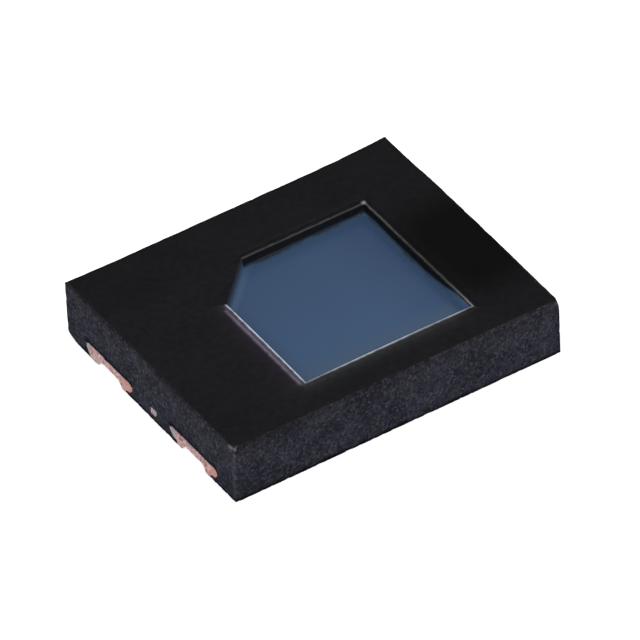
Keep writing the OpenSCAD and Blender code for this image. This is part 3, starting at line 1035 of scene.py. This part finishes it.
def painted_wall_shadow(tree, x, y):
    """Painted shadow: one at the foot of the back and the right wall, along a line that a noise bends."""
    _, swell = grain(tree, 0.45)
    shift = sums(tree, "MULTIPLY", sums(tree, "SUBTRACT", swell, 0.47), 0.22 * MM)
    shadow_by_back_wall = ramp_mm(tree, sums(tree, "ADD", y, shift), BACK_WALL - 0.073, BACK_WALL - 0.003, 0, 0.95)
    shadow_by_right_wall = ramp_mm(tree, sums(tree, "ADD", x, shift), RIGHT_WALL - 0.045, RIGHT_WALL + 0.01, 0, 0.9)
    return largest(tree, shadow_by_back_wall, sums(tree, "MULTIPLY", shadow_by_right_wall, ramp_mm(tree, y, -0.8, -0.3)))


def chip_material():
    """The blue, darkened by a painted shadow at the foot of the far walls, under a faint gloss that a grain
    breaks up.
    """
    material, tree, shader = start_material("silicon_blue")
    x, y, _ = place_on(tree)
    fleck, _ = grain(tree, 0.5)
    fill(tree, shader, Base_Color=blend(tree, painted_wall_shadow(tree, x, y), chip_blue(tree, x, y), WALL_SHADOW_DARK),
         Roughness=slope(tree, fleck, 0, 1, 0.27, 0.29), Specular_IOR_Level=0.1)
    return material


dress(nodes["photodiode_chip"], chip_material())
print("chip nodes:", len(nodes["photodiode_chip"].active_material.node_tree.nodes))

# %% [markdown]
# ## Copper
# The copper is bare and pink where the saw went through, and tin-plated underneath and in the solder
# dimples. Two materials would need the mesh split. One needs only a mask: the distance from the solder
# plane and from the saw cut. A sawn end is freshly red on one side and dull on the other, and its upper edge
# is painted dark, a painted shadow, as the marks on the burrs say.

# %% Copper material
COPPER_DARK, COPPER_RED, COPPER_PINK = (0.156, 0.079, 0.0755), (0.644, 0.38, 0.372), (0.68, 0.504, 0.503)
FRESH_CUT, DULL_SMEAR = (0.442, 0.209, 0.174), (0.285, 0.252, 0.266)
# EDGE_SHADOW_DARK is a painted shadow along the upper edge of the sawn ends
TIN, EDGE_SHADOW_DARK = (0.55, 0.54, 0.53), (0.012, 0.012, 0.014)


def sawn_copper(tree, fleck):
    """Dark to pink by the fleck, red at one end of the sawn face and dull at the other and in smears."""
    across = mark_on(tree, "across")
    tint, _ = grain(tree, 0.13, 0.45, 0.62)
    smear, _ = grain(tree, 0.16, 0.5, 0.75)
    bare = blend(tree, fleck, COPPER_DARK, blend(tree, tint, COPPER_RED, COPPER_PINK))
    fresh = blend(tree, ramp(tree, across, -0.95, -0.5, 0.8, 0), bare, FRESH_CUT)
    return blend(tree, largest(tree, smear, ramp(tree, across, 0.5, 0.95)), fresh, DULL_SMEAR)


def copper_material():
    """Tin near the solder plane and behind the saw cut, sawn copper elsewhere, then the painted shadow along
    the upper edge.
    """
    material, tree, shader = start_material("copper")
    x, _, z = place_on(tree)
    low = slope_mm(tree, z, 0.002, 0.02, 1.0, 0.0)
    unsawn = slope_mm(tree, sums(tree, "ABSOLUTE", x), BODY_L / 2 - 0.02, BODY_L / 2 - 0.012, 1.0, 0.0)
    fleck, relief = grain(tree, 0.05)
    plated = blend(tree, largest(tree, low, unsawn), sawn_copper(tree, fleck), TIN)
    fill(tree, shader, Base_Color=blend(tree, mark_on(tree, "painted_edge_shadow"), plated, EDGE_SHADOW_DARK), Metallic=1.0,
         Roughness=slope(tree, fleck, 0, 1, 0.42, 0.58), Normal=bump(tree, relief, 0.5, 0.006))
    return material


copper = copper_material()
for metal in (nodes["cathode_frame"], nodes["anode_terminal"], nodes["spare_terminal"], *burrs):
    dress(metal, copper)
print("copper nodes:", len(copper.node_tree.nodes))

# %% [markdown]
# ## Metals inside
# The gold wire, the aluminium contact and the silver glue are sealed in and seen only when the part is
# taken apart. Plain colours would do, but a little grain keeps them from looking like plastic.

# %% Hidden metals
HIDDEN = [  # node, material, darker and lighter colour, size of the grain, roughness
    ("bond_wire", "gold", (0.86, 0.58, 0.20), (0.95, 0.70, 0.30), 0.03, 0.25),
    ("anode_contact", "contact_metal", (0.78, 0.79, 0.80), (0.86, 0.86, 0.87), 0.02, 0.30),
    ("die_attach", "silver_adhesive", (0.42, 0.42, 0.41), (0.68, 0.68, 0.66), 0.02, 0.60),
]


def plain_metal(name, darker, lighter, size, roughness):
    """A metal between two colours by the grain, with a faint bump."""
    material, tree, shader = start_material(name)
    fleck, relief = grain(tree, size, 0.35, 0.65)
    fill(tree, shader, Base_Color=blend(tree, fleck, darker, lighter), Metallic=1.0, Roughness=roughness,
         Normal=bump(tree, relief, 0.3, 0.002))
    return material


for hidden, *look in HIDDEN:
    dress(nodes[hidden], plain_metal(*look))
print("materials:", [m.name for m in bpy.data.materials])

# %% [markdown]
# ## Stage
# The part lies on white paper in a white surround. More light would make the paper white, but it would
# also wash out the part. So the floor adds a little white of its own that only the camera and mirrors
# see, and it still keeps the soft shadow. The surround does the same.

# %% Stage
FLOOR_WHITE, FLOOR_HALF, FLOOR_T = 0.55, 90, 1.0
WHITE, PAPER = (1, 1, 1, 1), (0.86, 0.86, 0.86, 1)
SKY_LIGHT, SKY_SEEN = 0.5, 1.0


def seen_directly(tree):
    """One for rays from the camera, a mirror or glass, and zero for the soft light that falls on the part."""
    path = add(tree, "LightPath").outputs
    return largest(tree, path["Is Camera Ray"], path["Is Glossy Ray"], path["Is Transmission Ray"])


def floor_material():
    """Matt paper with an even white glow for the rays that see it directly."""
    material, tree, shader = start_material("floor")
    glow = sums(tree, "MULTIPLY", seen_directly(tree), FLOOR_WHITE)
    fill(tree, shader, Base_Color=PAPER, Roughness=0.9, Specular_IOR_Level=0.0, Emission_Color=WHITE,
         Emission_Strength=glow)
    material.cycles.emission_sampling = "NONE"
    return material


floor_sides = (-FLOOR_HALF, FLOOR_HALF, -FLOOR_HALF, FLOOR_HALF)
floor = place("floor", skin("floor", stack([(*floor_sides, -FLOOR_T), (*floor_sides, 0.0)]) * MM))
dress(floor, floor_material())
world = bpy.data.worlds.new("studio")
scene.world = world
world.use_nodes = True
sky = world.node_tree
surround = slope(sky, seen_directly(sky), 0, 1, SKY_LIGHT, SKY_SEEN)
fill(sky, sky.nodes["Background"], Color=WHITE, Strength=surround)
print("floor: %d mm square" % (2 * FLOOR_HALF))

# %% [markdown]
# ## Lamps
# Three soft lamps light the part from above, behind and the left. One sun would be simpler, but its shadow
# is hard. The lamps are squares a few centimetres away, because the part is five millimetres long.

# %% Lamps
LAMPS = [  # name, azimuth and elevation in degrees, distance and size in millimetres, watts
    ("overhead", 0, 82, 80, 70, 0.022),
    ("back_strip", 145, 20, 100, 40, 0.016),
    ("fill", -60, 35, 80, 60, 0.016),
]


def lamp(name, azimuth, elevation, distance, size, watts):
    """A square soft lamp at that direction and distance, turned to face the part."""
    away = from_centre(radians(azimuth), radians(elevation))
    light = bpy.data.lights.new(name, "AREA")
    light.size, light.energy = size * MM, watts
    holder = bpy.data.objects.new(name, light)
    holder.location = away * distance * MM
    holder.rotation_mode = "QUATERNION"
    holder.rotation_quaternion = (-away).to_track_quat("-Z", "Y")
    holder.visible_camera = False
    scene.collection.objects.link(holder)


for settings in LAMPS:
    lamp(*settings)
